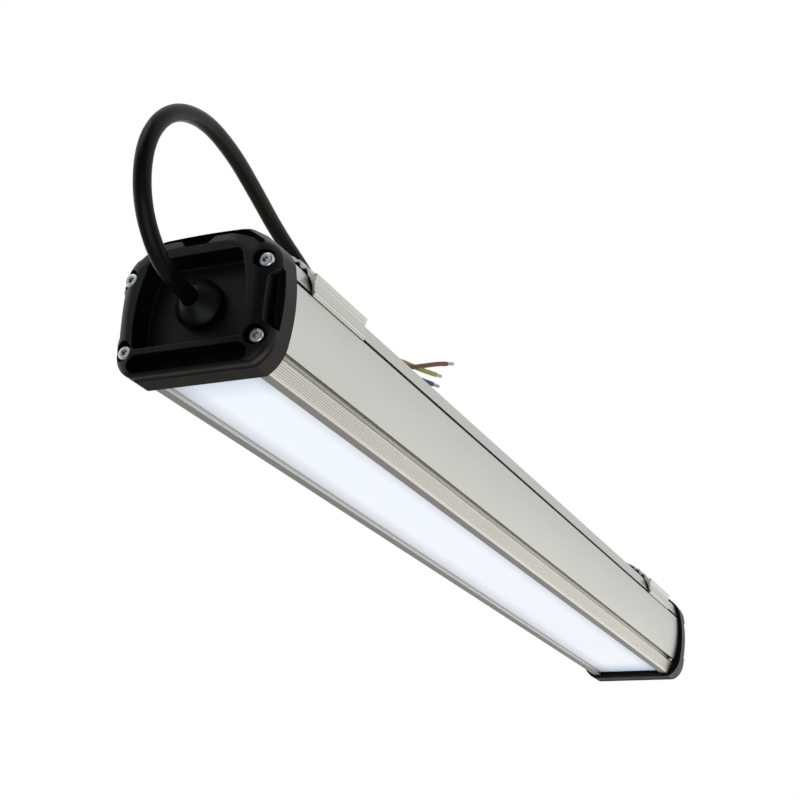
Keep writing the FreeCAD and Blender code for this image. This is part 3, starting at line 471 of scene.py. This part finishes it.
def strand_tip(name, start, ahead, node):
    """The bare end of a core: one strand in the middle and six twisted round it."""
    curve = bpy.data.curves.new(name, "CURVE")
    curve.dimensions = "3D"
    curve.bevel_depth = STRAND_RADIUS * MM
    curve.bevel_resolution = 3
    curve.use_fill_caps = True
    ahead = ahead.normalized()
    side = ahead.orthogonal().normalized()
    up = ahead.cross(side)
    lay = TIP_RADIUS - STRAND_RADIUS
    for number in range(OUTER_STRANDS + 1):
        spline = curve.splines.new("POLY")
        spline.points.add(STRAND_POINTS - 1)
        reach = lay if number else 0.0
        for step, point in enumerate(spline.points):
            share = step / (STRAND_POINTS - 1)
            angle = math.tau * (number / OUTER_STRANDS + share * STRAND_TURNS)
            out = (side * math.cos(angle) + up * math.sin(angle)) * reach
            point.co = (*(start + (ahead * (TIP_LENGTH * share) + out) * MM), 1.0)
    return ride(link(bpy.data.objects.new(name, curve)), node, "tinned_copper")


cable = cord_piece("cable", CABLE_ROUTE, CABLE_DIAMETER, "mains_cable", "cable_jacket")
for colour, route in CORE_ROUTES.items():
    core = cord_piece(f"{colour}_wire", route, CORE_DIAMETER, f"core_{colour}", f"{colour}_insulation")
    tip = strand_tip(
        f"{colour}_strands",
        at(*route[-1]),
        at(*route[-1]) - at(*route[-2]),
        f"core_{colour}_tip",
    )

# Pale floor, well below the lamp as under a ceiling
FLOOR_DEPTH = -2.4
FLOOR_HALF = 40.0


def looked_at_by(tree, names):
    """One where a ray of one of these kinds looks at the surface."""
    rays = add(tree, "ShaderNodeLightPath")
    seen = rays.outputs[names[0]]
    for name in names[1:]:
        either = add(tree, "ShaderNodeMath", operation="MAXIMUM")
        tree.links.new(seen, either.inputs[0])
        tree.links.new(rays.outputs[name], either.inputs[1])
        seen = either.outputs["Value"]
    return seen


def floor_material():
    material, tree, shader = new_material("floor", (0.55, 0.525, 0.5), 0.7)
    shade(tree, shader, "Roughness", spread(tree, noise(tree, 3.0), 0.65, 0.75))
    glow = add(tree, "ShaderNodeEmission")
    glow.inputs["Color"].default_value = (*WHITE, 1.0)
    mix = add(tree, "ShaderNodeMixShader")
    tree.links.new(looked_at_by(tree, ["Is Camera Ray", "Is Transmission Ray"]), mix.inputs["Fac"])
    tree.links.new(shader.outputs["BSDF"], mix.inputs[1])
    tree.links.new(glow.outputs["Emission"], mix.inputs[2])
    tree.links.new(mix.outputs["Shader"], tree.nodes["Material Output"].inputs["Surface"])
    return material


floor_mesh = bpy.data.meshes.new("floor")
sheet = bmesh.new()
bmesh.ops.create_grid(sheet, x_segments=1, y_segments=1, size=FLOOR_HALF)
sheet.to_mesh(floor_mesh)
sheet.free()
floor_mesh.materials.append(floor_material())
floor = link(bpy.data.objects.new("floor", floor_mesh))
floor.location = (0.0, 0.0, FLOOR_DEPTH)

# World: soft light all round, white where it is looked at; in reflections the studio is white past the far
# end of the lamp, dimmer overhead and dark past its cable end
AMBIENT = 0.5
BRIGHT_SIDE = 0.93
DARK_SIDE = 0.17
OVERHEAD = 0.78
DARK_UP_TO = -0.5
BRIGHT_FROM = 0.05
LOW_CLIMB = math.radians(30)
HIGH_CLIMB = math.radians(48)
world = bpy.data.worlds.new("studio")
scene.world = world
world.use_nodes = True
sky = world.node_tree
sky.nodes.clear()


def background(colour):
    node = add(sky, "ShaderNodeBackground")
    node.inputs["Color"].default_value = (*colour, 1.0)
    return node


def shown_to(names, others, chosen):
    """The chosen background for rays of these kinds, and the other one for the rest."""
    mix = add(sky, "ShaderNodeMixShader")
    sky.links.new(looked_at_by(sky, names), mix.inputs["Fac"])
    sky.links.new(others, mix.inputs[1])
    sky.links.new(chosen, mix.inputs[2])
    return mix.outputs["Shader"]


ambient = background((0.96, 0.98, 1.0))
ambient.inputs["Strength"].default_value = AMBIENT
mirrored = background(WHITE)
bearing = add(sky, "ShaderNodeTexCoord")
heading = add(sky, "ShaderNodeSeparateXYZ")
sky.links.new(bearing.outputs["Generated"], heading.inputs["Vector"])
studio = add(sky, "ShaderNodeMath", operation="MULTIPLY")
sideways = add(sky, "ShaderNodeMath", operation="ABSOLUTE")
sky.links.new(heading.outputs["Y"], sideways.inputs[0])
climb = add(sky, "ShaderNodeMath", operation="ARCTAN2")
sky.links.new(heading.outputs["Z"], climb.inputs[0])
sky.links.new(sideways.outputs["Value"], climb.inputs[1])
along = spread(sky, heading.outputs["X"], DARK_SIDE, BRIGHT_SIDE, start=DARK_UP_TO, end=BRIGHT_FROM)
above = spread(sky, climb.outputs["Value"], 1.0, OVERHEAD, start=LOW_CLIMB, end=HIGH_CLIMB)
sky.links.new(along, studio.inputs[0])
sky.links.new(above, studio.inputs[1])
sky.links.new(studio.outputs["Value"], mirrored.inputs["Strength"])
white = background(WHITE)
seen = shown_to(["Is Glossy Ray"], ambient.outputs["Background"], mirrored.outputs["Background"])
seen = shown_to(["Is Camera Ray", "Is Transmission Ray"], seen, white.outputs["Background"])
sky_out = add(sky, "ShaderNodeOutputWorld")
sky.links.new(seen, sky_out.inputs["Surface"])


# Studio lights
def softbox(name, place, target, side, power, colour=WHITE):
    light = bpy.data.lights.new(name, "AREA")
    light.shape = "SQUARE"
    light.size = side
    light.energy = power
    light.color = colour
    lamp = link(bpy.data.objects.new(name, light))
    lamp.visible_camera = False
    lamp.location = place
    lamp.rotation_mode = "QUATERNION"
    lamp.rotation_quaternion = (Vector(target) - Vector(place)).to_track_quat("-Z", "Y")


softbox("key", (-1.06, -0.63, -1.23), (-0.39, 0.0, -0.05), 1.5, 8.0, (0.85, 0.92, 1.0))
softbox("fill", (-1.0, 1.7, 0.3), (-0.3, 0.0, -0.04), 1.8, 7.0)
softbox("top", (-1.2, 0.55, 1.15), (-0.3, 0.0, -0.04), 1.0, 5.0)
softbox("side", (2.1, -0.8, -1.2), (0.0, 0.0, -0.05), 2.4, 15.5, (1.0, 0.955, 0.87))
